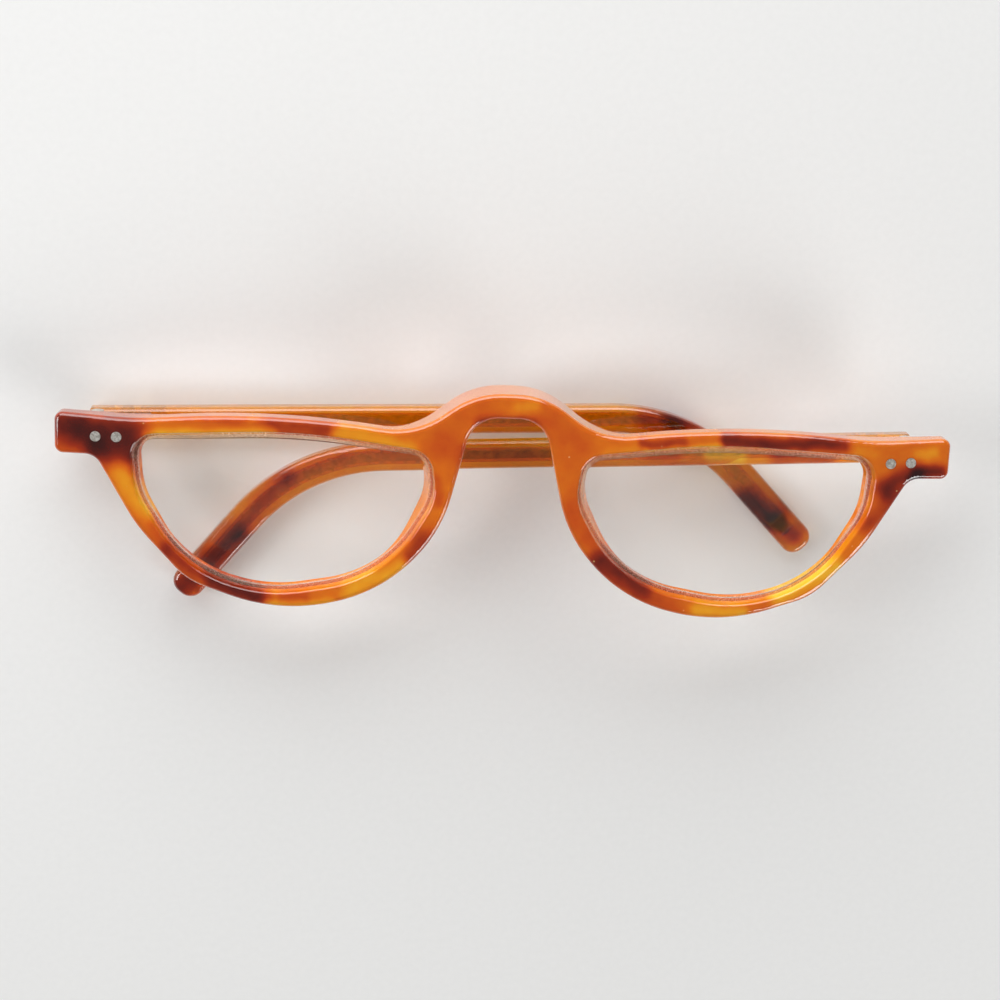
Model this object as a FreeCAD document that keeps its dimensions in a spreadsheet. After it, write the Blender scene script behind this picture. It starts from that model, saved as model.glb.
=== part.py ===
import FreeCAD, Part
import math
import os
import Sketcher

# Half eye reading glasses, folded, lying on the flat outer face of the outer temple
# Working frame: X across the front, Y up to the brow, Z out of the front towards the viewer
# Left and right are as the photograph shows them

os.makedirs("parts", exist_ok=True)
doc = FreeCAD.newDocument("half_eye_glasses")

SIZES = [
    # Outline of the right half of the front: rounded corners, x, y and radius
    ("bridge_top_y", 9.3),
    ("bridge_side_x", 5.3),
    ("bridge_side_r", 13.2),
    ("brow_dip_x", 14.4),
    ("brow_dip_y", 2.6),
    ("brow_dip_r", 12.8),
    ("brow_crest_x", 35.8),
    ("brow_crest_y", 5.1),
    ("brow_crest_r", 150.0),
    ("brow_end_x", 58.0),
    ("brow_end_y", 3.1),
    ("brow_end_r", 45.0),
    ("end_x", 70.15),
    ("end_top_y", 3.7),
    ("end_low_y", -2.87),
    ("end_r", 1.3),
    ("end_root_x", 63.9),
    ("end_root_r", 2.8),
    ("rim_side_x", 57.5),
    ("rim_side_y", -13.9),
    ("rim_side_r", 25.6),
    ("rim_low_x", 49.5),
    ("rim_low_y", -22.4),
    ("rim_low_r", 10.9),
    ("rim_bottom_x", 34.9),
    ("rim_bottom_y", -27.2),
    ("rim_bottom_r", 28.5),
    ("rim_nasal_x", 19.1),
    ("rim_nasal_y", -23.2),
    ("rim_nasal_r", 24.5),
    ("nose_side_x", 9.8),
    ("nose_side_y", -12.9),
    ("nose_side_r", 22.8),
    ("arch_side_x", 5.5),
    ("arch_top_y", 5.45),
    ("arch_r", 5.0),
    # Outline of the lens opening, from the nose round over the brow
    ("eye_nose_x", 11.8),
    ("eye_nose_y", 0.0),
    ("eye_nose_r", 4.2),
    ("eye_crest_x", 32.2),
    ("eye_crest_y", 2.4),
    ("eye_crest_r", 95.0),
    ("eye_end_x", 58.8),
    ("eye_end_y", 0.85),
    ("eye_end_r", 4.0),
    ("eye_side_x", 58.0),
    ("eye_side_y", -8.7),
    ("eye_side_r", 12.0),
    ("eye_low_x", 49.9),
    ("eye_low_y", -21.0),
    ("eye_low_r", 20.0),
    ("eye_bottom_x", 36.8),
    ("eye_bottom_y", -24.4),
    ("eye_bottom_r", 24.0),
    ("eye_rise_x", 18.3),
    ("eye_rise_y", -20.9),
    ("eye_rise_r", 21.0),
    ("eye_turn_x", 10.6),
    ("eye_turn_y", -7.5),
    ("eye_turn_r", 8.9),
    # Plan of the front: how far it bows, and its back
    ("bow_reach", 73.0),
    ("bow_depth", 3.8),
    ("bow_r", 695.0),
    ("end_back_z", -6.93),
    ("end_back_x", 58.0),
    ("rim_back_x", 52.5),
    ("rim_back_z", -5.5),
    ("pad_root_x", 17.5),
    ("pad_root_z", -3.75),
    ("pad_x", 9.5),
    ("pad_z", -8.4),
    ("edge_round", 0.8),
    ("lip_round", 0.35),
    # The sloping wall of the lens opening, which narrows towards the back
    ("wall_slope", 18.0),
    ("wall_ahead", 3.0),
    ("wall_behind", 8.5),
    ("eye_plane_z", -1.0),
    # Lenses and the groove that holds them
    ("groove_deep", 0.5),
    ("groove_wide", 1.2),
    ("groove_back", 1.85),
    ("bevel_out", 0.38),
    ("bevel_wide", 0.9),
    ("bevel_in", 2.0),
    ("lens_inset", 1.1),
    ("lens_thick", 1.8),
    ("lens_curve_r", 260.0),
    ("lens_x", 35.0),
    ("lens_y", -10.5),
    ("lens_z", -1.15),
    ("lens_turn", 2.87),
    # Temples
    ("temple_height", 4.5),
    ("ear_height", 5.2),
    ("temple_thick", 3.6),
    ("temple_round", 1.0),
    ("butt_ahead", 1.3),
    ("straight_right", 83.7),
    ("straight_left", 82.0),
    ("ear_r", 29.5),
    ("ear_angle", 47.6),
    ("tip_run", 16.6),
    ("tip_round", 2.3),
    # Core wire inside each temple
    ("wire_start", 10.6),
    ("wire_high", 1.3),
    ("wire_thick", 1.0),
    ("wire_short", 4.0),
    ("channel_gap", 0.1),
    ("rib_high", 2.1),
    ("rib_wide", 0.5),
    ("rib_count", 13),
    ("early_rib_count", 6),
    ("rib_pitch", 1.9),
    # Hinges
    ("axis_x", 64.1),
    ("hinge_lift", 0.5),
    ("axis_behind", 2.0),
    ("axis_inboard", 1.5),
    ("knuckle_r", 1.25),
    ("knuckle_low", 0.75),
    ("knuckle_top", 1.95),
    ("middle_half", 0.65),
    ("bore_r", 0.64),
    ("pin_r", 0.6),
    ("leaf_thick", 0.8),
    ("leaf_half", 1.85),
    ("front_leaf_in", 5.3),
    ("front_leaf_out", 1.3),
    ("neck_half", 1.1),
    ("temple_leaf_long", 8.2),
    ("temple_leaf_half", 1.5),
    ("fit_gap", 0.03),
    ("screw_head_r", 1.0),
    ("screw_head_high", 0.35),
    ("slot_wide", 0.25),
    # Rivets
    ("rivet_r", 0.8),
    ("front_rivet_near", 0.35),
    ("front_rivet_far", 3.6),
    ("temple_rivet_near", 3.0),
    ("temple_rivet_far", 6.0),
    ("rivet_proud", 0.12),
]

# How the pair is folded: each hinge leans a little in the plane of the front
OUTER_FOLD = 4.0
RIGHT_LEAN = 2.8
LEFT_LEAN = 1.2
LEAN_DROP = 0.125

sheet = doc.addObject("Spreadsheet::Sheet", "Sizes")
for row, (alias, number) in enumerate(SIZES, start=1):
    sheet.set("A%d" % row, alias)
    sheet.set("B%d" % row, str(number))
    sheet.setAlias("B%d" % row, alias)
doc.recompute()


def size(alias):
    """The number that a named cell of the sheet holds."""
    return float(sheet.get(alias))


def cell(text):
    """An expression in cell names, with the sheet's name put before each."""
    names = sorted((a for a, _ in SIZES), key=len, reverse=True)
    out = ""
    i = 0
    while i < len(text):
        hit = next((n for n in names if text.startswith(n, i)), None)
        if hit:
            out += "Sizes." + hit
            i += len(hit)
        else:
            out += text[i]
            i += 1
    return out


def amount(text):
    """The value that an expression in cell names has now."""
    value = sheet.evalExpression(cell(text))
    return float(getattr(value, "Value", value))


def bind(thing, prop, text):
    """Ties a property to an expression in cell names."""
    thing.setExpression(prop, cell(text))


def origin_plane(body, role):
    """One of the three planes of a body's own origin."""
    return next(f for f in body.Origin.OriginFeatures if f.Role == role)


def new_body(label):
    """An empty body."""
    body = doc.addObject("PartDesign::Body", label)
    body.Label = label
    return body


def sketch_on(body, name, role="XY_Plane", lift=None):
    """A sketch on one of a body's origin planes, lifted off it by an expression."""
    sketch = body.newObject("Sketcher::SketchObject", name)
    sketch.AttachmentSupport = (origin_plane(body, role), [""])
    sketch.MapMode = "FlatFace"
    if lift:
        bind(sketch, "AttachmentOffset.Base.z", lift)
    return sketch


def rounded_outline(sketch, corners):
    """Draws a closed outline of straight runs and the arcs that round its corners.
    A corner is x, y and radius, each an expression; a radius of None leaves it sharp."""
    points = [FreeCAD.Vector(amount(x), amount(y), 0) for x, y, _ in corners]
    count = len(corners)
    ends = []
    for i, (_, _, radius) in enumerate(corners):
        here = points[i]
        back = (points[i - 1] - here).normalize()
        ahead = (points[(i + 1) % count] - here).normalize()
        if radius is None:
            ends.append((here, here, None, 0))
            continue
        r = amount(radius)
        half = back.getAngle(ahead) / 2
        run = r / math.tan(half)
        centre = here + (back + ahead).normalize() * (r / math.sin(half))
        ends.append((here + back * run, here + ahead * run, centre, r))
    lines = []
    for i in range(count):
        start = ends[i][1]
        stop = ends[(i + 1) % count][0]
        lines.append(sketch.addGeometry(Part.LineSegment(start, stop), False))
    for i, (x, y, radius) in enumerate(corners):
        into, out_of = lines[i - 1], lines[i]
        start, stop, centre, r = ends[i]
        if radius is None:
            sketch.addConstraint(Sketcher.Constraint("Coincident", into, 2, out_of, 1))
            place_point(sketch, into, 2, x, y, points[i])
            continue
        turns_left = (start - centre).cross(stop - centre).z > 0
        first, last = (start, stop) if turns_left else (stop, start)
        a0 = math.atan2(first.y - centre.y, first.x - centre.x)
        a1 = math.atan2(last.y - centre.y, last.x - centre.x)
        circle = Part.Circle(centre, FreeCAD.Vector(0, 0, 1), r)
        arc = sketch.addGeometry(Part.ArcOfCircle(circle, a0, a1), False)
        near, far = (1, 2) if turns_left else (2, 1)
        sketch.addConstraint(Sketcher.Constraint("Tangent", into, 2, arc, near))
        sketch.addConstraint(Sketcher.Constraint("Tangent", arc, far, out_of, 1))
        rule = sketch.addConstraint(Sketcher.Constraint("Radius", arc, r))
        sketch.setExpression("Constraints[%d]" % rule, cell(radius))
        corner = sketch.addGeometry(Part.Point(points[i]), True)
        sketch.addConstraint(Sketcher.Constraint("PointOnObject", corner, 1, into))
        sketch.addConstraint(Sketcher.Constraint("PointOnObject", corner, 1, out_of))
        place_point(sketch, corner, 1, x, y, points[i])


def place_point(sketch, item, end, x, y, now):
    """Fixes one point of a sketch at expressions for x and y."""
    for kind, text, value, axis in (("DistanceX", x, now.x, -2), ("DistanceY", y, now.y, -1)):
        if text == "0":
            sketch.addConstraint(Sketcher.Constraint("PointOnObject", item, end, axis))
            continue
        rule = sketch.addConstraint(Sketcher.Constraint(kind, -1, 1, item, end, value))
        sketch.setExpression("Constraints[%d]" % rule, cell(text))


def rectangle(sketch, x0, x1, y0, y1):
    """Draws a rectangle between four expressions."""
    rounded_outline(sketch, [(x0, y0, None), (x1, y0, None), (x1, y1, None), (x0, y1, None)])


def pad(body, sketch, length, middle=False, back=False):
    """Pads a sketch by an expression."""
    feature = body.newObject("PartDesign::Pad", sketch.Name + "_pad")
    feature.Profile = sketch
    bind(feature, "Length", length)
    feature.Midplane = middle
    feature.Reversed = back
    sketch.Visibility = False
    doc.recompute()
    return feature


def pocket(body, sketch, length, middle=False, back=False):
    """Cuts a sketch into its body by an expression, and makes sure that it cut."""
    before = body.Shape.Volume
    feature = body.newObject("PartDesign::Pocket", sketch.Name + "_cut")
    feature.Profile = sketch
    bind(feature, "Length", length)
    feature.Midplane = middle
    feature.Reversed = back
    sketch.Visibility = False
    doc.recompute()
    if body.Shape.Volume > before - 1e-4:
        feature.Reversed = not back
        doc.recompute()
    if body.Shape.Volume > before - 1e-4:
        raise RuntimeError(sketch.Name + " cuts nothing")
    return feature


def circle_at(sketch, x, y, radius):
    """Draws a circle at expressions for its centre and radius."""
    centre = FreeCAD.Vector(amount(x), amount(y), 0)
    disc = Part.Circle(centre, FreeCAD.Vector(0, 0, 1), amount(radius))
    item = sketch.addGeometry(disc, False)
    rule = sketch.addConstraint(Sketcher.Constraint("Radius", item, amount(radius)))
    sketch.setExpression("Constraints[%d]" % rule, cell(radius))
    place_point(sketch, item, 3, x, y, centre)


def part_of(kind, label, **links):
    """A Part boolean or extrusion of other objects."""
    thing = doc.addObject(kind, label)
    thing.Label = label
    for prop, value in links.items():
        setattr(thing, prop, value)
    doc.recompute()
    return thing


def sharp_edges(shape):
    """Numbers of the edges where two faces meet at a clear angle."""
    found = []
    for number, edge in enumerate(shape.Edges, start=1):
        middle = edge.valueAt((edge.FirstParameter + edge.LastParameter) / 2)
        normals = []
        for face in shape.ancestorsOfType(edge, Part.Face):
            u, v = face.Surface.parameter(middle)
            normals.append(face.normalAt(u, v))
        if len(normals) == 2 and normals[0].getAngle(normals[1]) > math.radians(30):
            found.append(number)
    return found


NAMES = {1: "right", -1: "left"}

# The front: the outline of one half, padded and mirrored, then cut to a bowed slab
blank = new_body("front_blank")
outline = sketch_on(blank, "front_outline")
rounded_outline(outline, [
    ("0", "bridge_top_y", None),
    ("bridge_side_x", "bridge_top_y", "bridge_side_r"),
    ("brow_dip_x", "brow_dip_y", "brow_dip_r"),
    ("brow_crest_x", "brow_crest_y", "brow_crest_r"),
    ("brow_end_x", "brow_end_y", "brow_end_r"),
    ("end_x", "end_top_y", "end_r"),
    ("end_x", "end_low_y", "end_r"),
    ("end_root_x", "end_low_y", "end_root_r"),
    ("rim_side_x", "rim_side_y", "rim_side_r"),
    ("rim_low_x", "rim_low_y", "rim_low_r"),
    ("rim_bottom_x", "rim_bottom_y", "rim_bottom_r"),
    ("rim_nasal_x", "rim_nasal_y", "rim_nasal_r"),
    ("nose_side_x", "nose_side_y", "nose_side_r"),
    ("arch_side_x", "arch_top_y", "arch_r"),
    ("0", "arch_top_y", None),
])
half = pad(blank, outline, "bow_reach", middle=True)
mirrored = blank.newObject("PartDesign::Mirrored", "front_mirror")
mirrored.Originals = [half]
mirrored.MirrorPlane = (origin_plane(blank, "YZ_Plane"), [""])
blank.Tip = mirrored
doc.recompute()

slab = new_body("front_slab")
plan = sketch_on(slab, "front_plan", "XZ_Plane")
rounded_outline(plan, [
    ("-bow_reach", "-bow_depth", None),
    ("0", "bow_depth", "bow_r"),
    ("bow_reach", "-bow_depth", None),
    ("bow_reach", "end_back_z", None),
    ("end_back_x", "end_back_z", "10"),
    ("rim_back_x", "rim_back_z", "12"),
    ("pad_root_x", "pad_root_z", "9"),
    ("pad_x", "pad_z", "5"),
    ("-pad_x", "pad_z", "5"),
    ("-pad_root_x", "pad_root_z", "9"),
    ("-rim_back_x", "rim_back_z", "12"),
    ("-end_back_x", "end_back_z", "10"),
    ("-bow_reach", "end_back_z", None),
])
pad(slab, plan, "bow_reach", middle=True)
front_form = part_of("Part::Common", "front_form", Base=blank, Tool=slab)


def bowed_band(label, wide):
    """A thin slab that follows the bow of the front, centred on the lens groove."""
    band = new_body(label)
    drawing = sketch_on(band, label + "_plan", "XZ_Plane")
    top = "groove_back - " + wide + " / 2"
    low = "groove_back + " + wide + " / 2"
    rounded_outline(drawing, [
        ("-bow_reach", "-bow_depth - (" + top + ")", None),
        ("0", "bow_depth - (" + top + ")", "bow_r"),
        ("bow_reach", "-bow_depth - (" + top + ")", None),
        ("bow_reach", "-bow_depth - (" + low + ")", None),
        ("0", "bow_depth - (" + low + ")", "bow_r"),
        ("-bow_reach", "-bow_depth - (" + low + ")", None),
    ])
    pad(band, drawing, "bow_reach", middle=True)
    return band


groove_band = bowed_band("groove_band", "groove_wide")


def eye_sketch(side, label):
    """The lens outline on one side."""
    drawing = doc.addObject("Sketcher::SketchObject", label)
    sign = "" if side > 0 else "-"
    corners = []
    for name in ("nose", "crest", "end", "side", "low", "bottom", "rise", "turn"):
        stem = "eye_" + name
        corners.append((sign + stem + "_x", stem + "_y", stem + "_r"))
    rounded_outline(drawing, corners)
    drawing.Placement.Rotation = FreeCAD.Rotation(FreeCAD.Vector(0, side, 0), 1)
    bind(drawing, "Placement.Rotation.Angle", "lens_turn * 1deg")
    bind(drawing, "Placement.Base.x", "%d * lens_x * (1 - cos(lens_turn * 1deg))" % side)
    bind(drawing, "Placement.Base.z", "eye_plane_z + lens_x * sin(lens_turn * 1deg)")
    doc.recompute()
    return drawing


def eye_block(drawing, label, grow, ahead, behind, slope=False):
    """The lens outline, grown by an expression and extruded both ways from the eye's plane.
    With a slope it widens towards the front and narrows towards the back."""
    source = drawing
    if grow:
        source = doc.addObject("Part::Offset2D", label + "_offset")
        source.Source = drawing
        source.Join = "Arc"
        bind(source, "Value", grow)
        doc.recompute()
    block = doc.addObject("Part::Extrusion", label)
    block.Base = source
    block.DirMode = "Custom"
    block.Dir = drawing.Placement.Rotation.multVec(FreeCAD.Vector(0, 0, 1))
    block.Solid = True
    bind(block, "LengthFwd", ahead)
    bind(block, "LengthRev", behind)
    if slope:
        bind(block, "TaperAngle", "wall_slope")
        bind(block, "TaperAngleRev", "-wall_slope")
    doc.recompute()
    return block


# The two lenses: a meniscus with a thin bevel all round, which sits in the groove,
# and the sloping openings that they look through
lenses = {}
openings = {}
eye_cutters = []
for side in (1, -1):
    tag = NAMES[side]
    drawing = eye_sketch(side, "eye_outline_" + tag)
    openings[side] = eye_block(
        drawing, "eye_opening_" + tag, None, "wall_ahead", "wall_behind", slope=True)
    wide = eye_block(drawing, "groove_block_" + tag, "groove_deep", "9", "9")
    groove = part_of("Part::Common", "groove_" + tag, Base=wide, Tool=groove_band)
    eye_cutters.append(groove)

    middle = eye_block(drawing, "lens_block_" + tag, "-lens_inset", "9", "9")
    balls = []
    for name, radius in (("front", "lens_curve_r"), ("back", "lens_curve_r - lens_thick")):
        ball = doc.addObject("Part::Sphere", "lens_ball_%s_%s" % (name, tag))
        bind(ball, "Radius", radius)
        lean = "lens_turn * 1deg"
        bind(ball, "Placement.Base.x", "%d * (lens_x - lens_curve_r * sin(%s))" % (side, lean))
        bind(ball, "Placement.Base.y", "lens_y")
        bind(ball, "Placement.Base.z", "lens_z - lens_curve_r * cos(%s)" % lean)
        balls.append(ball)
    doc.recompute()
    shell = part_of("Part::Cut", "lens_shell_" + tag, Base=balls[0], Tool=balls[1])
    meniscus = part_of("Part::Common", "meniscus_" + tag, Base=middle, Tool=shell)
    bevel_band = bowed_band("bevel_band_" + tag, "bevel_wide")
    bevel_block = eye_block(drawing, "bevel_block_" + tag, "bevel_out", "9", "9")
    bevel = part_of("Part::Common", "bevel_" + tag, Base=bevel_block, Tool=bevel_band)
    hollow = eye_block(drawing, "bevel_hole_" + tag, "-bevel_in", "9", "9")
    ring = part_of("Part::Cut", "bevel_ring_" + tag, Base=bevel, Tool=hollow)
    lenses[side] = part_of("Part::MultiFuse", "lens_" + tag, Shapes=[meniscus, ring])

# The hinges, each drawn about its own axis: Y up the pin, Z towards the front
hinge_z = size("end_back_z") - size("axis_behind")
leans = {1: RIGHT_LEAN, -1: LEFT_LEAN}


def hinge_frame(side):
    """Where a hinge's own frame stands in the working frame."""
    high = size("hinge_lift") - side * LEAN_DROP
    spot = FreeCAD.Vector(side * size("axis_x"), high, hinge_z)
    return FreeCAD.Placement(spot, FreeCAD.Rotation(FreeCAD.Vector(0, 0, 1), leans[side]))


front_cutters = []
front_leaves = {}
screws = {}
rivets = {}
for side in (1, -1):
    tag = NAMES[side]
    s = "" if side > 0 else "-"
    opposite = "-" if side > 0 else ""
    frame = hinge_frame(side)

    leaf = new_body("front_hinge_leaf_" + tag)
    plate = sketch_on(leaf, "front_plate_" + tag, lift="axis_behind")
    rectangle(plate, opposite + "front_leaf_in", s + "front_leaf_out", "-leaf_half", "leaf_half")
    pad(leaf, plate, "leaf_thick")
    for level, low, high in (
        ("upper", "knuckle_low", "knuckle_top"),
        ("lower", "-knuckle_top", "-knuckle_low"),
    ):
        neck = sketch_on(leaf, "front_neck_%s_%s" % (level, tag))
        rectangle(neck, "-neck_half", "neck_half", low, high)
        pad(leaf, neck, "axis_behind + 0.1")
        round_end = sketch_on(leaf, "front_knuckle_%s_%s" % (level, tag), "XZ_Plane")
        # the plane's own normal points to -Y
        bind(round_end, "AttachmentOffset.Base.z", "-(" + high + ")")
        circle_at(round_end, "0", "0", "knuckle_r")
        pad(leaf, round_end, "knuckle_top - knuckle_low")
    bore = sketch_on(leaf, "front_bore_" + tag, "XZ_Plane")
    circle_at(bore, "0", "0", "bore_r")
    pocket(leaf, bore, "knuckle_top * 3", middle=True)
    holes = sketch_on(leaf, "front_leaf_holes_" + tag, lift="axis_behind")
    for spot in ("front_rivet_near", "front_rivet_far"):
        circle_at(holes, opposite + spot, "-hinge_lift", "rivet_r + fit_gap")
    pocket(leaf, holes, "leaf_thick * 2", middle=True)
    leaf.Placement = frame
    front_leaves[side] = leaf

    seat = new_body("front_leaf_seat_" + tag)
    seat_sketch = sketch_on(seat, "front_seat_" + tag, lift="axis_behind - 1")
    rectangle(
        seat_sketch,
        opposite + "(front_leaf_in + fit_gap)",
        s + "(front_leaf_out + fit_gap)",
        "-leaf_half - fit_gap",
        "leaf_half + fit_gap",
    )
    pad(seat, seat_sketch, "leaf_thick + 1 + fit_gap")
    seat.Placement = frame
    front_cutters.append(seat)

    screw = new_body("hinge_screw_" + tag)
    shank = sketch_on(screw, "screw_shank_" + tag, "XZ_Plane")
    bind(shank, "AttachmentOffset.Base.z", "-knuckle_top - fit_gap")
    circle_at(shank, "0", "0", "pin_r")
    pad(screw, shank, "knuckle_top * 2 + 0.1")
    head = sketch_on(screw, "screw_head_" + tag, "XZ_Plane")
    bind(head, "AttachmentOffset.Base.z", "-knuckle_top - fit_gap - screw_head_high")
    circle_at(head, "0", "0", "screw_head_r")
    pad(screw, head, "screw_head_high")
    slot = sketch_on(screw, "screw_slot_" + tag, "XZ_Plane")
    bind(slot, "AttachmentOffset.Base.z", "-knuckle_top - fit_gap - screw_head_high")
    rectangle(slot, "-screw_head_r", "screw_head_r", "-slot_wide / 2", "slot_wide / 2")
    pocket(screw, slot, "screw_head_high")
    screw.Placement = frame
    screws[side] = screw

    for name, spot in (("inner", "front_rivet_far"), ("outer", "front_rivet_near")):
        across = side * size("axis_x") - side * size(spot)
        face = -size("bow_depth") * (across / size("bow_reach")) ** 2
        label = "front_rivet_%s_%s" % (name, tag)
        rivet = new_body(label)
        disc = sketch_on(rivet, label + "_disc", lift="axis_behind")
        circle_at(disc, opposite + spot, "-hinge_lift", "rivet_r")
        reach = face - hinge_z - size("axis_behind") + size("rivet_proud")
        pad(rivet, disc, "%.3f" % reach)
        rivet.Placement = frame
        rivets[label] = rivet
        hole = new_body(label + "_hole")
        round_hole = sketch_on(hole, label + "_round", lift="axis_behind - 1")
        circle_at(round_hole, opposite + spot, "-hinge_lift", "rivet_r + fit_gap")
        pad(hole, round_hole, "12")
        hole.Placement = frame
        front_cutters.append(hole)

# The finished front: the eyes are opened and all edges rounded, then the grooves,
# the hinge seats and the rivet holes are cut
eyes = part_of("Part::MultiFuse", "both_eyes", Shapes=list(openings.values()))
opened = part_of("Part::Cut", "front_opened", Base=front_form, Tool=eyes)
rounded_form = doc.addObject("Part::Fillet", "front_rounded")
rounded_form.Base = opened
radii = []
for number in sharp_edges(opened.Shape):
    middle = opened.Shape.Edges[number - 1].CenterOfMass
    in_eye = any(b.Shape.BoundBox.isInside(middle) and b.Shape.distToShape(
        Part.Vertex(middle))[0] < 0.2 for b in openings.values())
    radius = size("lip_round") if in_eye else size("edge_round")
    radii.append((number, radius, radius))
rounded_form.Edges = radii
doc.recompute()

tools = part_of("Part::MultiFuse", "front_tools", Shapes=eye_cutters + front_cutters)
front = part_of("Part::Cut", "front_frame", Base=rounded_form, Tool=tools)


# The temples: a flat bar of acetate with a bent ear end and a channel for the core wire
def ear_point(tag, out, along):
    """Expressions for a point of the ear end: out from its middle line, and along it
    from the corner where the straight and the ear end would meet."""
    turn = "ear_angle * 1deg"
    corner = "(straight_" + tag + " + ear_r * tan(ear_angle * 0.5deg))"
    x = "%s + (%s) * sin(%s) + (%s) * cos(%s)" % (corner, out, turn, along, turn)
    y = "(%s) * cos(%s) - (%s) * sin(%s)" % (out, turn, along, turn)
    return x, y


def bar_outline(tag, start, half_high, half_ear, short, tip_r, butt_r):
    """Corners of a bar that runs straight and then bends down to the ear."""
    turn = "ear_angle * 1deg"
    tail = "ear_r * tan(ear_angle * 0.5deg) + tip_run - %s" % short
    # where the edge of the straight meets the edge of the ear end
    slide = "((%s) * cos(%s) - (%s)) / sin(%s)" % (half_ear, turn, half_high, turn)
    top = ear_point(tag, half_ear, slide)
    low = ear_point(tag, "-(%s)" % half_ear, "-(%s)" % slide)
    tip_top = ear_point(tag, half_ear, tail)
    tip_low = ear_point(tag, "-(%s)" % half_ear, tail)
    return [
        (start, half_high, butt_r),
        (top[0], half_high, "ear_r + " + half_ear),
        (tip_top[0], tip_top[1], tip_r),
        (tip_low[0], tip_low[1], tip_r),
        (low[0], "-(%s)" % half_high, "ear_r - (%s)" % half_ear),
        (start, "-(%s)" % half_high, butt_r),
    ]


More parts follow.
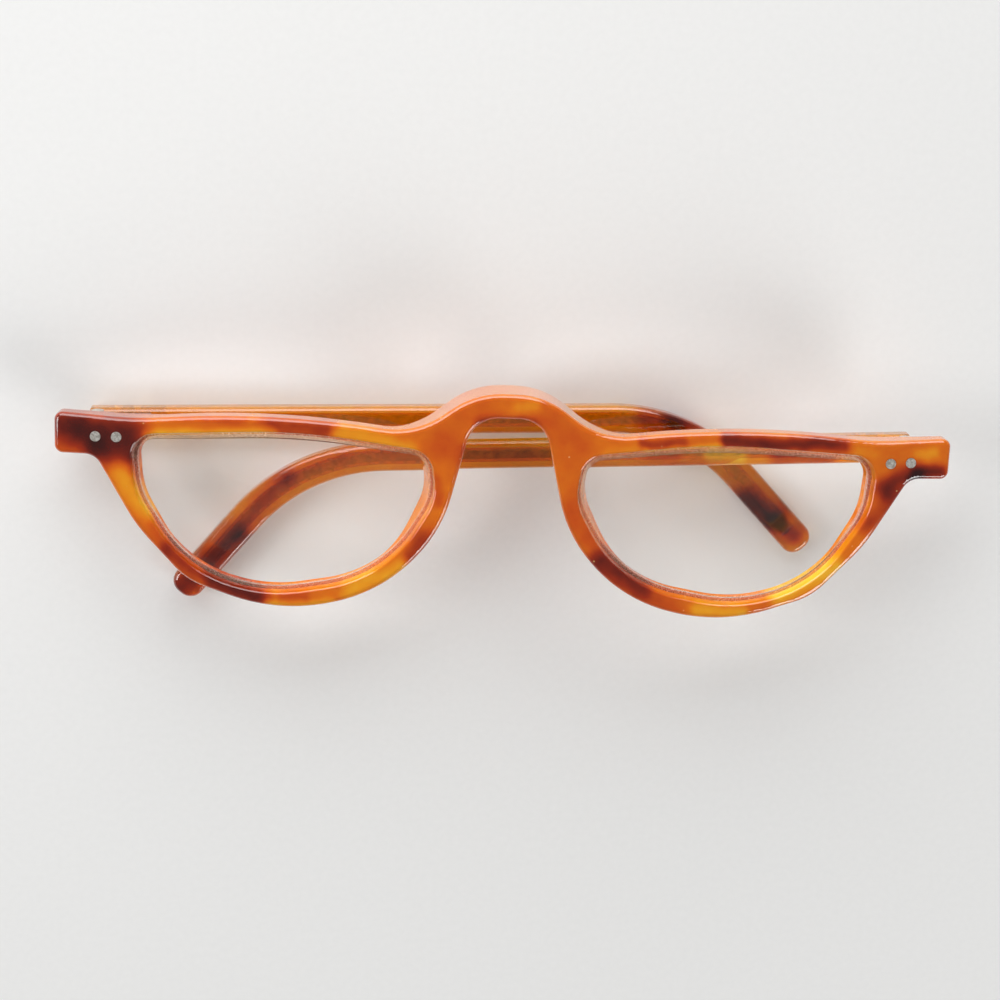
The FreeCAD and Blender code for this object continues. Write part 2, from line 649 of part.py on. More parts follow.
temples = {}
wires = {}
temple_leaves = {}
for side in (1, -1):
    tag = NAMES[side]
    s = "" if side > 0 else "-"
    back = side < 0

    temple = new_body("temple_" + tag)
    profile = sketch_on(temple, "temple_profile_" + tag, lift=s + "axis_inboard")
    rounded_outline(profile, bar_outline(
        tag, "-butt_ahead", "temple_height / 2", "ear_height / 2", "0", "tip_round", "0.4"))
    bar = pad(temple, profile, "temple_thick", back=back)
    fillet = temple.newObject("PartDesign::Fillet", "temple_edges_" + tag)
    chosen = []
    for number, edge in enumerate(bar.Shape.Edges, start=1):
        if edge.BoundBox.ZLength < 1e-3:
            chosen.append("Edge%d" % number)
    fillet.Base = (bar, chosen)
    bind(fillet, "Radius", "temple_round")
    temple.Tip = fillet
    doc.recompute()
    channel = sketch_on(
        temple, "wire_channel_" + tag, lift=s + "(axis_inboard + temple_thick / 2)")
    rounded_outline(channel, bar_outline(
        tag,
        "wire_start - channel_gap",
        "rib_high / 2 + channel_gap",
        "rib_high / 2 + channel_gap",
        "wire_short + channel_gap * 2",
        "0.3",
        None,
    ))
    pocket(temple, channel, "wire_thick + 2 * channel_gap", middle=True)
    seat = sketch_on(temple, "temple_seat_" + tag, lift=s + "axis_inboard")
    rectangle(
        seat, "-butt_ahead - 1", "temple_leaf_long + fit_gap",
        "-temple_leaf_half - fit_gap", "temple_leaf_half + fit_gap",
    )
    pocket(temple, seat, "leaf_thick + fit_gap", back=not back)
    holes = sketch_on(temple, "temple_holes_" + tag, lift=s + "axis_inboard")
    for spot in ("temple_rivet_near", "temple_rivet_far"):
        circle_at(holes, spot, "0", "rivet_r + fit_gap")
    pocket(temple, holes, "temple_thick * 3", middle=True)
    temples[side] = temple

    wire = new_body("core_wire_" + tag)
    strip = sketch_on(wire, "wire_strip_" + tag, lift=s + "(axis_inboard + temple_thick / 2)")
    rounded_outline(strip, bar_outline(
        tag, "wire_start", "wire_high / 2", "wire_high / 2", "wire_short", "0.3", None))
    pad(wire, strip, "wire_thick", middle=True)
    rib = sketch_on(wire, "wire_rib_" + tag, lift=s + "(axis_inboard + temple_thick / 2)")
    bind(rib, "AttachmentOffset.Base.x", "straight_" + tag)
    bind(rib, "AttachmentOffset.Base.y", "-ear_r")
    rectangle(
        rib, "-rib_wide / 2", "rib_wide / 2", "ear_r - rib_high / 2", "ear_r + rib_high / 2")
    first_rib = pad(wire, rib, "wire_thick", middle=True)
    bend_ribs = wire.newObject("PartDesign::PolarPattern", "bend_ribs_" + tag)
    bend_ribs.Originals = [first_rib]
    bend_ribs.Axis = (rib, ["N_Axis"])
    bind(bend_ribs, "Angle", "ear_angle * 1deg")
    bind(bend_ribs, "Occurrences", "rib_count")
    bend_ribs.Reversed = True
    wire.Tip = bend_ribs
    doc.recompute()
    early = sketch_on(wire, "early_rib_" + tag, lift=s + "(axis_inboard + temple_thick / 2)")
    rectangle(
        early,
        "straight_" + tag + " - early_rib_count * rib_pitch - rib_wide / 2",
        "straight_" + tag + " - early_rib_count * rib_pitch + rib_wide / 2",
        "-rib_high / 2",
        "rib_high / 2",
    )
    early_rib = pad(wire, early, "wire_thick", middle=True)
    early_ribs = wire.newObject("PartDesign::LinearPattern", "early_ribs_" + tag)
    early_ribs.Originals = [early_rib]
    early_ribs.Direction = (early, ["H_Axis"])
    bind(early_ribs, "Length", "(early_rib_count - 1) * rib_pitch")
    bind(early_ribs, "Occurrences", "early_rib_count")
    wire.Tip = early_ribs
    doc.recompute()
    wires[side] = wire

    leaf = new_body("temple_hinge_leaf_" + tag)
    plate = sketch_on(leaf, "temple_plate_" + tag, lift=s + "axis_inboard")
    rectangle(plate, "0", "temple_leaf_long", "-temple_leaf_half", "temple_leaf_half")
    pad(leaf, plate, "leaf_thick", back=back)
    neck = sketch_on(leaf, "temple_neck_" + tag)
    rectangle(neck, "0", "knuckle_r * 2", "-middle_half", "middle_half")
    pad(leaf, neck, "axis_inboard + leaf_thick / 2", back=back)
    barrel = sketch_on(leaf, "temple_knuckle_" + tag, "XZ_Plane")
    circle_at(barrel, "0", "0", "knuckle_r")
    pad(leaf, barrel, "middle_half * 2", middle=True)
    bore = sketch_on(leaf, "temple_bore_" + tag, "XZ_Plane")
    circle_at(bore, "0", "0", "bore_r")
    pocket(leaf, bore, "middle_half * 3", middle=True)
    holes = sketch_on(leaf, "temple_leaf_holes_" + tag, lift=s + "axis_inboard")
    for spot in ("temple_rivet_near", "temple_rivet_far"):
        circle_at(holes, spot, "0", "rivet_r + fit_gap")
    pocket(leaf, holes, "leaf_thick * 3", middle=True)
    temple_leaves[side] = leaf

    for name, spot in (("front", "temple_rivet_near"), ("rear", "temple_rivet_far")):
        label = "temple_rivet_%s_%s" % (name, tag)
        rivet = new_body(label)
        disc = sketch_on(rivet, label + "_disc", lift=s + "axis_inboard")
        circle_at(disc, spot, "0", "rivet_r")
        pad(rivet, disc, "temple_thick - fit_gap", back=back)
        rivets[label] = rivet


def temple_frame(side):
    """Where a folded temple's own frame stands in the working frame."""
    turned = FreeCAD.Rotation(FreeCAD.Vector(0, 1, 0), 180 if side > 0 else 0)
    fold = 0 if side > 0 else OUTER_FOLD
    opened = FreeCAD.Rotation(FreeCAD.Vector(0, 1, 0), -side * fold)
    spin = FreeCAD.Placement(FreeCAD.Vector(), opened.multiply(turned))
    return hinge_frame(side).multiply(spin)


# Every piece in the working frame, then the whole laid down on the outer temple
nodes = {"front_frame": (front, FreeCAD.Placement())}
for side in (1, -1):
    tag = NAMES[side]
    nodes["lens_" + tag] = (lenses[side], FreeCAD.Placement())
    nodes["front_hinge_leaf_" + tag] = (front_leaves[side], hinge_frame(side))
    nodes["hinge_screw_" + tag] = (screws[side], hinge_frame(side))
    for name in ("inner", "outer"):
        label = "front_rivet_%s_%s" % (name, tag)
        nodes[label] = (rivets[label], hinge_frame(side))
    where = temple_frame(side)
    nodes["temple_" + tag] = (temples[side], where)
    nodes["core_wire_" + tag] = (wires[side], where)
    nodes["temple_hinge_leaf_" + tag] = (temple_leaves[side], where)
    for name in ("front", "rear"):
        label = "temple_rivet_%s_%s" % (name, tag)
        nodes[label] = (rivets[label], where)

down = temple_frame(-1).Rotation.multVec(FreeCAD.Vector(0, 0, -1))
lay = FreeCAD.Rotation(down, FreeCAD.Vector(0, 0, -1))
laid = FreeCAD.Placement(FreeCAD.Vector(), lay)
whole = FreeCAD.BoundBox()
for thing, where in nodes.values():
    thing.Placement = laid.multiply(where)
doc.recompute()
for thing, where in nodes.values():
    whole.add(thing.Shape.optimalBoundingBox(False))
offset = FreeCAD.Vector(-whole.Center.x, -whole.Center.y, -whole.ZMin)
rest = FreeCAD.Placement(offset, lay)
for label, (thing, where) in nodes.items():
    thing.Placement = rest.multiply(where)
    thing.Label = label
doc.recompute()

# Checks, and one STEP file for each piece
for thing in doc.Objects:
    if "Invalid" in thing.State or "Error" in thing.State:
        raise RuntimeError(thing.Label + " is not valid: " + str(thing.State))
for label, (thing, where) in nodes.items():
    shape = thing.Shape
    if shape.isNull() or not shape.isValid() or shape.Volume <= 0:
        raise RuntimeError(label + " has no valid solid")
    if len(shape.Solids) != 1:
        raise RuntimeError("%s has %d solids" % (label, len(shape.Solids)))
    shape.exportStep("parts/%s.step" % label)
    print("%-28s %8.2f mm3" % (label, shape.Volume))

for side in (1, -1):
    spot = rest.multVec(hinge_frame(side).Base)
    pin = lay.multVec(hinge_frame(side).Rotation.multVec(FreeCAD.Vector(0, 1, 0)))
    print("hinge %s %.9f %.9f %.9f axis %.12f %.12f %.12f" % (
        NAMES[side], spot.x, spot.y, spot.z, pin.x, pin.y, pin.z))
size_line = (whole.XLength, whole.YLength, whole.ZLength)
print("whole %.3f %.3f %.3f" % size_line)
print("offset %.6f %.6f %.6f" % (offset.x, offset.y, offset.z))
print("down %.9f %.9f %.9f" % (down.x, down.y, down.z))
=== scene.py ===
import math

import bpy
from mathutils import Euler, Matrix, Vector


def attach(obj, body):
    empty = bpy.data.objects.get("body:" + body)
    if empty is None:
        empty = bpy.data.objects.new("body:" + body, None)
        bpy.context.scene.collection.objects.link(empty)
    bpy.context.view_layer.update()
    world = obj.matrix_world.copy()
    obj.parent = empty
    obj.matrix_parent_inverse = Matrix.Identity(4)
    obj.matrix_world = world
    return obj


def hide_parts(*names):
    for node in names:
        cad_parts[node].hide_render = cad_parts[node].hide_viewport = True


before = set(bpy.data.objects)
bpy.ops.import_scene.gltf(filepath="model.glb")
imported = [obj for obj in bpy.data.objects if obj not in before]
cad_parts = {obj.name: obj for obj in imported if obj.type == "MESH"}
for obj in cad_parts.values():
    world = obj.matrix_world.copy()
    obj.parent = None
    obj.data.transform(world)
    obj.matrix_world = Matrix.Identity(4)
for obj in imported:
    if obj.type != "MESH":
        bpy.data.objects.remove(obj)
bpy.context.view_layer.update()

# The view: a camera almost straight above the folded pair, as the photograph has it.
# It stands about a third of a metre off, a little to the left and towards the brow.

camera_data = bpy.data.cameras.new("camera")
camera_data.lens = 79.11
camera_data.sensor_width = 36
camera_data.clip_start = 0.01
camera_data.clip_end = 10
camera = bpy.data.objects.new("camera", camera_data)
camera.location = (-0.043146, 0.087001, 0.346777)
camera.rotation_euler = Euler([math.radians(a) for a in (-14.71149, -6.63443, 2.43712)])
bpy.context.scene.collection.objects.link(camera)
bpy.context.scene.camera = camera
bpy.context.scene.view_settings.view_transform = "Standard"

# The lamps: a broad soft window behind the brow, and weaker ones in front and at the left.
# Together with the pale room they light the pair at a plain level.

glasses_middle = Vector((0, 0.005, 0.01))


def area_lamp(name, place, size, watts):
    """A rectangular lamp aimed at the middle of the glasses."""
    data = bpy.data.lights.new(name, "AREA")
    data.shape = "RECTANGLE"
    data.size, data.size_y = size
    data.energy = watts
    lamp = bpy.data.objects.new(name, data)
    lamp.location = place
    aim = glasses_middle - Vector(place)
    lamp.rotation_euler = aim.to_track_quat("-Z", "Y").to_euler()
    bpy.context.scene.collection.objects.link(lamp)


area_lamp("window_lamp", place=(-0.12, 0.62, 0.32), size=(0.95, 0.55), watts=6.2)
area_lamp("front_lamp", place=(0.45, -0.5, 0.4), size=(0.35, 0.35), watts=2.4)
area_lamp("side_lamp", place=(-0.62, 0.0, 0.42), size=(0.3, 0.3), watts=2.0)

room = bpy.data.worlds.new("room")
bpy.context.scene.world = room
room.use_nodes = True
sky = room.node_tree.nodes["Background"]
sky.inputs["Color"].default_value = (1, 1, 1, 1)
sky.inputs["Strength"].default_value = 0.16

# The table top: a plain pale matt surface that the folded pair lies on.
# It is painted board, so it only takes soft shadows.


def new_material(name):
    """An empty node material with its tree and its Principled shader."""
    material = bpy.data.materials.new(name)
    material.use_nodes = True
    tree = material.node_tree
    return material, tree, tree.nodes["Principled BSDF"]


def add_node(tree, kind, **sockets):
    """A node of that kind, with plain values on its input sockets."""
    node = tree.nodes.new(kind)
    for name, value in sockets.items():
        node.inputs[name.replace("_", " ")].default_value = value
    return node


def wire(tree, source, target):
    """Joins an output to an input."""
    tree.links.new(source, target)


def ranged(tree, value, from_low, from_high, to_low, to_high, smooth=False):
    """Maps a value from one range to another and gives the new value's socket."""
    node = tree.nodes.new("ShaderNodeMapRange")
    if smooth:
        node.interpolation_type = "SMOOTHSTEP"
    node.inputs["From Min"].default_value = from_low
    node.inputs["From Max"].default_value = from_high
    node.inputs["To Min"].default_value = to_low
    node.inputs["To Max"].default_value = to_high
    wire(tree, value, node.inputs["Value"])
    return node.outputs["Result"]


def added(tree, first, second, clamp=False):
    """Adds two values and gives the sum's socket."""
    node = tree.nodes.new("ShaderNodeMath")
    node.operation = "ADD"
    node.use_clamp = clamp
    wire(tree, first, node.inputs[0])
    wire(tree, second, node.inputs[1])
    return node.outputs["Value"]


def colour(text):
    """A written colour, such as e8a040, as the shader's own numbers."""
    out = []
    for i in (0, 2, 4):
        c = int(text[i:i + 2], 16) / 255
        out.append(c / 12.92 if c <= 0.04045 else ((c + 0.055) / 1.055) ** 2.4)
    return (*out, 1.0)


floor_mesh = bpy.data.meshes.new("table_top")
half_wide = 1.5
corners = [(-half_wide, -half_wide, 0), (half_wide, -half_wide, 0)]
corners += [(half_wide, half_wide, 0), (-half_wide, half_wide, 0)]
floor_mesh.from_pydata(corners, [], [(0, 1, 2, 3)])
table_top = bpy.data.objects.new("table_top", floor_mesh)
bpy.context.scene.collection.objects.link(table_top)
just_below = 0.0001
table_top.location.z = -just_below
table_finish, tree, shader = new_material("table_paint")
grain = add_node(tree, "ShaderNodeTexNoise", Scale=900.0, Detail=3.0)
place = tree.nodes.new("ShaderNodeTexCoord")
wire(tree, place.outputs["Object"], grain.inputs["Vector"])
board = tree.nodes.new("ShaderNodeMixRGB")
board.inputs["Color1"].default_value = (0.88, 0.88, 0.87, 1)
board.inputs["Color2"].default_value = (0.84, 0.84, 0.83, 1)
wire(tree, grain.outputs["Fac"], board.inputs["Fac"])
wire(tree, board.outputs["Color"], shader.inputs["Base Color"])
shader.inputs["Roughness"].default_value = 0.9
shader.inputs["Specular IOR Level"].default_value = 0.1
table_top.data.materials.append(table_finish)

# The front: both rims, the arched bridge and the endpieces, cut from one sheet of acetate.
# The sheet is honey, orange and dark red plastic run together, and its faces are polished.


MILLIMETRE = 0.001
FADE_BEYOND_REACH = 1.6


def mottle_group(name, streaks):
    """A group that puts out the depth of the mottling, from 0, honey, to 1, dark red-brown.
    A streak is its two ends, x and y, its reach, all in millimetres, and its strength."""
    group = bpy.data.node_groups.new(name, "ShaderNodeTree")
    group.interface.new_socket("Place", in_out="INPUT", socket_type="NodeSocketVector")
    group.interface.new_socket("Start", in_out="INPUT", socket_type="NodeSocketFloat")
    group.interface.new_socket("Depth", in_out="OUTPUT", socket_type="NodeSocketFloat")
    inside = group.nodes.new("NodeGroupInput")
    outside = group.nodes.new("NodeGroupOutput")

    def vector_node(operation, constant=None, *sources):
        """A vector node fed by the sources, then by the constant."""
        node = group.nodes.new("ShaderNodeVectorMath")
        node.operation = operation
        for i, source in enumerate(sources):
            wire(group, source, node.inputs[i])
        if constant is not None:
            node.inputs[len(sources)].default_value = constant
        return node

    warp = add_node(group, "ShaderNodeTexNoise", Scale=150.0, Detail=2.0)
    wire(group, inside.outputs["Place"], warp.inputs["Vector"])
    centred = vector_node("SUBTRACT", (0.5, 0.5, 0.5), warp.outputs["Color"])
    scaled = vector_node("MULTIPLY", (0.003, 0.002, 0), centred.outputs["Vector"])
    level = vector_node("MULTIPLY", (1, 1, 0), inside.outputs["Place"])
    bent = vector_node("ADD", None, level.outputs["Vector"], scaled.outputs["Vector"])
    total = inside.outputs["Start"]
    for x1, y1, x2, y2, reach, strength in streaks:
        start = Vector((x1, y1, 0)) * MILLIMETRE
        run = Vector((x2 - x1, y2 - y1, 0)) * MILLIMETRE
        off = vector_node("SUBTRACT", start, bent.outputs["Vector"])
        along = vector_node("DOT_PRODUCT", run / run.length_squared, off.outputs["Vector"])
        part = ranged(group, along.outputs["Value"], 0, 1, 0, 1)
        nearest = vector_node("SCALE")
        nearest.inputs[0].default_value = run
        wire(group, part, nearest.inputs["Scale"])
        away = vector_node("DISTANCE", None, off.outputs["Vector"], nearest.outputs["Vector"])
        fade_out = FADE_BEYOND_REACH * reach * MILLIMETRE
        fade = ranged(group, away.outputs["Value"], 0, fade_out, strength, 0, True)
        total = added(group, total, fade)
    fine = add_node(group, "ShaderNodeTexNoise", Scale=380.0, Detail=4.0)
    wire(group, inside.outputs["Place"], fine.inputs["Vector"])
    spread = ranged(group, fine.outputs["Fac"], 0.3, 0.7, -0.035, 0.035)
    wire(group, added(group, total, spread, True), outside.inputs["Depth"])
    return group


def wear_group():
    """A group that puts out small light specks and the fine scratches of long use."""
    group = bpy.data.node_groups.new("handling_wear", "ShaderNodeTree")
    group.interface.new_socket("Place", in_out="INPUT", socket_type="NodeSocketVector")
    group.interface.new_socket("Specks", in_out="OUTPUT", socket_type="NodeSocketFloat")
    group.interface.new_socket("Scratches", in_out="OUTPUT", socket_type="NodeSocketFloat")
    inside = group.nodes.new("NodeGroupInput")
    outside = group.nodes.new("NodeGroupOutput")
    dots = add_node(group, "ShaderNodeTexVoronoi", Scale=520.0)
    wire(group, inside.outputs["Place"], dots.inputs["Vector"])
    dot = ranged(group, dots.outputs["Distance"], 0.05, 0.1, 1, 0, True)
    clouds = add_node(group, "ShaderNodeTexNoise", Scale=260.0, Detail=1.0)
    wire(group, inside.outputs["Place"], clouds.inputs["Vector"])
    sparse = ranged(group, clouds.outputs["Fac"], 0.52, 0.62, 0, 1)
    both = group.nodes.new("ShaderNodeMath")
    both.operation = "MULTIPLY"
    wire(group, dot, both.inputs[0])
    wire(group, sparse, both.inputs[1])
    wire(group, both.outputs["Value"], outside.inputs["Specks"])
    slanted = add_node(group, "ShaderNodeMapping", Rotation=(0, 0, 0.5), Scale=(180, 2600, 900))
    wire(group, inside.outputs["Place"], slanted.inputs["Vector"])
    lines = add_node(group, "ShaderNodeTexNoise", Scale=1.0, Detail=3.0)
    wire(group, slanted.outputs["Vector"], lines.inputs["Vector"])
    wire(group, lines.outputs["Fac"], outside.inputs["Scratches"])
    return group


HONEY_TO_RED = [
    (0.0, "ffd23c"),
    (0.14, "f9a818"),
    (0.32, "ec7c06"),
    (0.48, "d65604"),
    (0.64, "a42c03"),
    (0.82, "641204"),
    (1.0, "300604"),
]
wear = wear_group()


def acetate(name, streaks, start, clear, milk, rough, shadow):
    """Polished mottled acetate, with painted glow: the walls are painted a little lighter, where light
    comes in.
    start is the depth of the plain sheet, and shadow is how dark a shadow it throws."""
    material, tree, shader = new_material(name)
    place = tree.nodes.new("ShaderNodeTexCoord")
    mottle = tree.nodes.new("ShaderNodeGroup")
    mottle.node_tree = mottle_group(name + "_mottle", streaks)
    mottle.inputs["Start"].default_value = start
    wire(tree, place.outputs["Object"], mottle.inputs["Place"])
    used = tree.nodes.new("ShaderNodeGroup")
    used.node_tree = wear
    wire(tree, place.outputs["Object"], used.inputs["Place"])
    upright = tree.nodes.new("ShaderNodeSeparateXYZ")
    wire(tree, place.outputs["Normal"], upright.inputs["Vector"])
    level = tree.nodes.new("ShaderNodeMath")
    level.operation = "ABSOLUTE"
    wire(tree, upright.outputs["Z"], level.inputs[0])
    # Painted glow: steep walls and rounded edges are painted lighter, standing for light that enters
    # the acetate there.
    painted_wall_glow = ranged(tree, level.outputs["Value"], 0.3, 0.98, -0.1, 0, True)
    depth = added(tree, mottle.outputs["Depth"], painted_wall_glow, True)
    ramp = tree.nodes.new("ShaderNodeValToRGB")
    points = ramp.color_ramp.elements
    points[0].color = colour(HONEY_TO_RED[0][1])
    points[1].color = colour(HONEY_TO_RED[-1][1])
    for position, text in HONEY_TO_RED[1:-1]:
        points.new(position).color = colour(text)
    wire(tree, depth, ramp.inputs["Fac"])
    speckled = tree.nodes.new("ShaderNodeMixRGB")
    speckled.inputs["Color2"].default_value = colour("ffd890")
    wire(tree, ranged(tree, used.outputs["Specks"], 0, 1, 0, 0.55), speckled.inputs["Fac"])
    wire(tree, ramp.outputs["Color"], speckled.inputs["Color1"])
    wire(tree, speckled.outputs["Color"], shader.inputs["Base Color"])
    haze = ranged(tree, used.outputs["Scratches"], 0.3, 0.7, rough, rough + 0.06)
    wire(tree, haze, shader.inputs["Roughness"])
    bump = add_node(tree, "ShaderNodeBump", Strength=0.02, Distance=0.0001)
    wire(tree, used.outputs["Scratches"], bump.inputs["Height"])
    wire(tree, bump.outputs["Normal"], shader.inputs["Normal"])
    light = tree.nodes.new("ShaderNodeLightPath")
    thrown = ranged(tree, light.outputs["Is Shadow Ray"], 0, 1, 1, shadow)
    wire(tree, thrown, shader.inputs["Alpha"])
    shader.inputs["IOR"].default_value = 1.49
    shader.inputs["Transmission Weight"].default_value = clear
    shader.inputs["Subsurface Weight"].default_value = milk
    shader.inputs["Subsurface Radius"].default_value = (1.0, 0.3, 0.08)
    shader.inputs["Subsurface Scale"].default_value = 0.0015
    shader.inputs["Coat Weight"].default_value = 0.8
    shader.inputs["Coat IOR"].default_value = 1.6
    shader.inputs["Coat Roughness"].default_value = 0.03
    return material


def dress(names, material):
    """Puts one finish on CAD nodes."""
    for name in names:
        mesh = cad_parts[name].data
        mesh.materials.clear()
        mesh.materials.append(material)


# These streaks are partly the sheet's own mottling and partly painted light: dark and light bands along
# the rims and brows, painted shade of the rounded edges and painted glow where light comes out through
# them.
front_mottle_and_glow_streaks = [
    (-68.5, 10.8, -59.5, 10.0, 3.5, 0.42),
    (-66.0, 9.8, -63.0, 7.9, 2.3, 0.15),
    (-63.0, 6.9, -58.3, 6.5, 2.3, 0.22),
    (-58.3, 9.6, -56.5, 11.1, 1.8, 0.08),
    (-55.3, 9.7, -37.0, 10.6, 1.3, -0.32),
    (-61.5, 13.1, -41.0, 13.2, 0.9, 0.10),
    (-36.5, 12.2, -28.5, 11.9, 2.1, 0.22),
    (-26.0, 11.5, -15.0, 9.5, 1.6, -0.20),
    (-10.0, 11.0, -7.0, 8.5, 2.5, 0.12),
    (-6.1, 9.5, -5.1, 5.0, 1.4, 0.25),
    (-7.5, 14.6, -4.0, 16.7, 2.0, 0.05),
    (-4.5, 13.9, 3.5, 15.0, 1.2, 0.20),
    (0.5, 16.2, 3.5, 16.2, 1.3, -0.16),
    (-57.8, 6.0, -57.0, 3.5, 1.3, 0.14),
    (-59.5, 3.4, -55.9, -1.6, 1.9, -0.20),
    (-54.5, -5.1, -52.5, -7.6, 1.8, 0.10),
    (-52.0, -8.6, -47.5, -11.5, 1.9, 0.26),
    (-45.0, -12.9, -39.0, -15.3, 1.9, 0.45),
    (-37.0, -16.5, -26.5, -15.7, 0.8, -0.20),
    (-35.0, -15.2, -31.0, -14.8, 1.0, 0.12),
    (-24.0, -13.3, -16.0, -9.5, 1.7, -0.24),
    (-14.5, -7.7, -12.0, -4.8, 1.7, 0.22),
    (-10.0, -1.7, -8.2, 3.4, 1.5, -0.04),
    (-11.5, 4.8, -10.7, 0.8, 0.8, 0.10),
    (6.0, 15.0, 10.0, 10.5, 2.8, 0.07),
    (10.0, 1.4, 13.5, -5.6, 2.1, 0.10),
    (15.0, -7.6, 21.5, -11.5, 2.1, 0.38),
    (23.5, -13.0, 26.5, -14.4, 1.6, 0.15),
    (30.5, -15.2, 37.5, -15.8, 1.3, -0.25),
    (44.0, -12.9, 52.5, -8.0, 1.8, -0.30),
    (54.0, -5.5, 56.0, -3.4, 1.5, -0.05),
    (57.5, -0.8, 61.0, 2.9, 1.9, 0.20),
    (60.0, 4.9, 63.5, 7.0, 2.1, 0.38),
    (64.5, 7.0, 68.3, 7.6, 1.3, 0.42),
    (64.5, 10.8, 66.8, 10.7, 1.2, -0.16),
    (20.5, 11.7, 26.5, 12.0, 0.9, 0.22),
    (33.5, 12.0, 52.5, 11.8, 1.2, 0.40),
    (21.5, 10.1, 32.5, 10.9, 0.9, -0.34),
    (38.5, 10.3, 48.5, 10.2, 0.7, -0.10),
    (15.5, 10.1, 19.5, 10.0, 1.3, -0.10),
    (52.5, 11.2, 56.5, 10.6, 1.3, -0.10),
]
front_acetate = acetate(
    "front_acetate", front_mottle_and_glow_streaks, start=0.38, clear=0.2, milk=0.1, rough=0.06, shadow=0.85)
dress(["front_frame"], front_acetate)

# The temples: flat bars of the same sheet, bent down at the ear.
# They are clearer than the front, so that the ribbed metal core shows inside them.

right_temple_streaks = [
    (-13.4, 7.5, -23.6, 6.7, 1.6, 0.12),
    (-25.6, 5.9, -33.8, 2.7, 1.7, 0.16),
    (-34.3, 2.2, -40.9, -6.9, 1.8, 0.28),
    (-42.0, -8.5, -50.7, -17.2, 2.5, 0.50),
    (-25.1, 12.7, -8.8, 12.8, 1.3, 0.30),
    (-4.3, 9.7, 6.9, 9.1, 2.0, -0.15),
    (24.0, 7.5, 28.0, 7.5, 1.3, 0.15),
    (34.0, 7.9, 38.0, 7.9, 1.3, -0.36),
    (44.5, 8.1, 52.5, 8.3, 1.5, 0.34),
]
left_temple_streaks = [
    (-4.3, 5.6, 9.2, 5.5, 2.0, -0.14),
    (23.9, 12.0, 28.1, 11.6, 2.0, 0.28),
    (28.6, 11.8, 33.3, 10.9, 2.0, 0.38),
    (36.5, 3.0, 39.7, 0.9, 1.7, -0.08),
    (41.0, -1.2, 46.3, -4.6, 2.3, 0.60),
    (47.1, -5.3, 49.7, -7.4, 1.7, 0.40),
    (37.6, 1.9, 40.2, 0.4, 1.2, 0.10),
]
right_acetate = acetate(
    "right_temple_acetate", right_temple_streaks, start=0.22, clear=0.8, milk=0, rough=0.01, shadow=0.5)
left_acetate = acetate(
    "left_temple_acetate", left_temple_streaks, start=0.2, clear=0.8, milk=0, rough=0.01, shadow=0.5)
dress(["temple_right"], right_acetate)
dress(["temple_left"], left_acetate)

# The lenses: clear polished plastic, each with a ground bevel that sits in the rim's groove.
# The two polished faces are parts of spheres, and all the rest of a lens is fine ground.

lens_clear, tree, shader = new_material("lens_clear")
shader.inputs["Base Color"].default_value = (0.97, 0.97, 0.96, 1)
shader.inputs["Transmission Weight"].default_value = 1.0
shader.inputs["IOR"].default_value = 1.5
place = tree.nodes.new("ShaderNodeTexCoord")
smudges = add_node(tree, "ShaderNodeTexNoise", Scale=120.0, Detail=5.0)
wire(tree, place.outputs["Object"], smudges.inputs["Vector"])
haze = ranged(tree, smudges.outputs["Fac"], 0.5, 0.9, 0, 0.05)
wire(tree, haze, shader.inputs["Roughness"])
light = tree.nodes.new("ShaderNodeLightPath")
wire(tree, ranged(tree, light.outputs["Is Shadow Ray"], 0, 1, 1, 0.1), shader.inputs["Alpha"])

lens_ground, tree, shader = new_material("lens_ground")
place = tree.nodes.new("ShaderNodeTexCoord")
grit = add_node(tree, "ShaderNodeTexNoise", Scale=7000.0, Detail=2.0)
wire(tree, place.outputs["Object"], grit.inputs["Vector"])
ground = tree.nodes.new("ShaderNodeMixRGB")
ground.inputs["Color1"].default_value = colour("fff6ea")
ground.inputs["Color2"].default_value = colour("fce4c4")
wire(tree, grit.outputs["Fac"], ground.inputs["Fac"])
wire(tree, ground.outputs["Color"], shader.inputs["Base Color"])
wire(tree, ranged(tree, grit.outputs["Fac"], 0.3, 0.7, 0.2, 0.3), shader.inputs["Roughness"])
shader.inputs["Transmission Weight"].default_value = 0.92
bump = add_node(tree, "ShaderNodeBump", Strength=0.06, Distance=0.0001)
wire(tree, grit.outputs["Fac"], bump.inputs["Height"])
wire(tree, bump.outputs["Normal"], shader.inputs["Normal"])
light = tree.nodes.new("ShaderNodeLightPath")
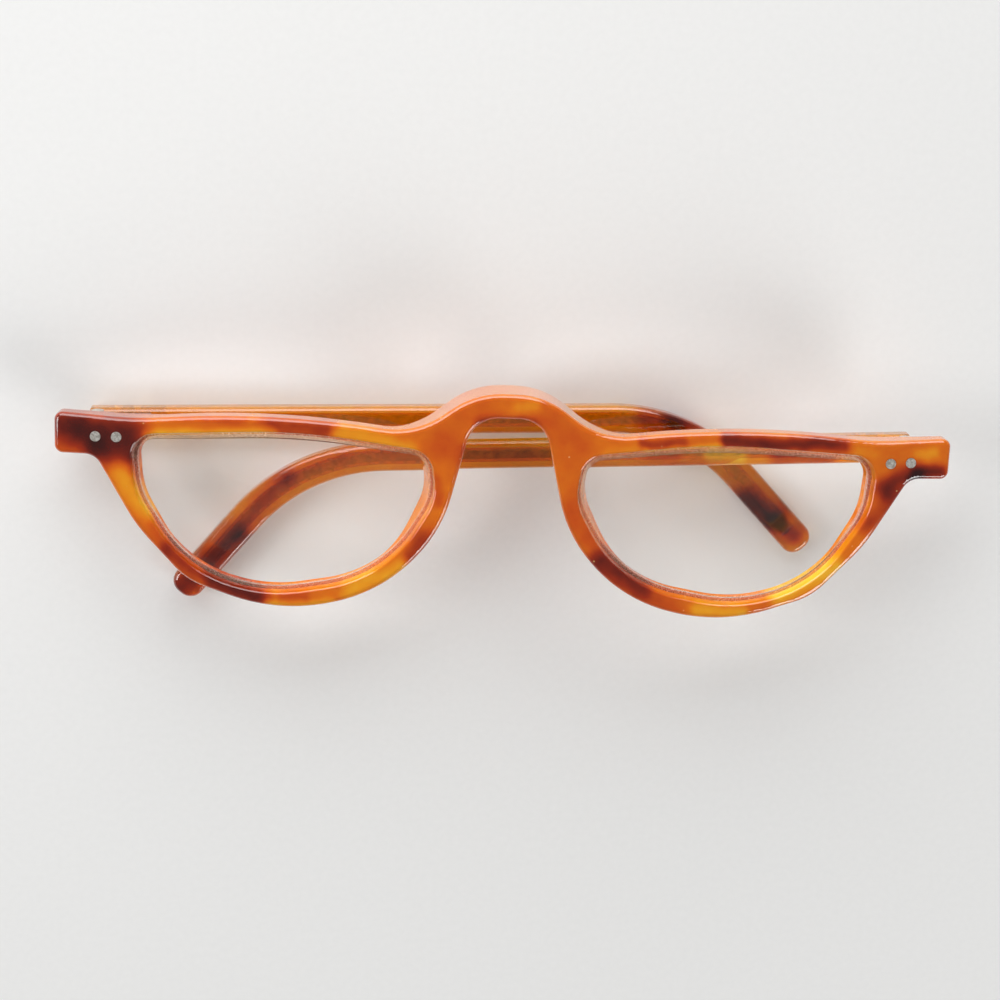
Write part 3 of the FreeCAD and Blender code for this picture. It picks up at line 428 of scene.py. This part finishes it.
wire(tree, ranged(tree, light.outputs["Is Shadow Ray"], 0, 1, 1, 0.3), shader.inputs["Alpha"])

polish_radii = (0.26, 0.2582)
close_enough = 0.00006
ball_middles = {"left": (-0.004098, -0.000841, -0.243259), "right": (0.039756, -0.000843, -0.240193)}
for side, middle in ball_middles.items():
    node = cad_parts["lens_" + side]
    lens = bpy.data.objects.new("ground_lens_" + side, node.data.copy())
    bpy.context.scene.collection.objects.link(lens)
    lens.data.materials.clear()
    lens.data.materials.append(lens_clear)
    lens.data.materials.append(lens_ground)
    for face in lens.data.polygons:
        reaches = [(lens.data.vertices[v].co - Vector(middle)).length for v in face.vertices]
        polished = any(all(abs(far - r) < close_enough for far in reaches) for r in polish_radii)
        face.material_index = 0 if polished else 1
    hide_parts("lens_" + side)
    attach(lens, "front")

# The metal: nickel silver hinge leaves, screws and rivets, turned and lightly polished,
# and the plainer darkened steel of the ribbed cores.


def metal(name, bright, dark, rough, grain, shine):
    """A worn metal with fine turning marks."""
    material, tree, shader = new_material(name)
    place = tree.nodes.new("ShaderNodeTexCoord")
    marks = add_node(tree, "ShaderNodeTexNoise", Scale=grain, Detail=4.0)
    wire(tree, place.outputs["Object"], marks.inputs["Vector"])
    tone = tree.nodes.new("ShaderNodeMixRGB")
    tone.inputs["Color1"].default_value = colour(bright)
    tone.inputs["Color2"].default_value = colour(dark)
    wire(tree, ranged(tree, marks.outputs["Fac"], 0.35, 0.65, 0, 1), tone.inputs["Fac"])
    wire(tree, tone.outputs["Color"], shader.inputs["Base Color"])
    worn = ranged(tree, marks.outputs["Fac"], 0, 1, rough, rough + 0.2)
    wire(tree, worn, shader.inputs["Roughness"])
    shader.inputs["Metallic"].default_value = shine
    return material


nickel = metal("nickel_silver", "f6f2ea", "b8b2a8", rough=0.28, grain=2600.0, shine=0.7)
hinge_nodes = [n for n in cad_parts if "hinge" in n or "rivet" in n]
dress(hinge_nodes, nickel)
core_steel = metal("core_steel", "c09458", "5c3c1c", rough=0.3, grain=900.0, shine=0.6)
dress(["core_wire_left", "core_wire_right"], core_steel)
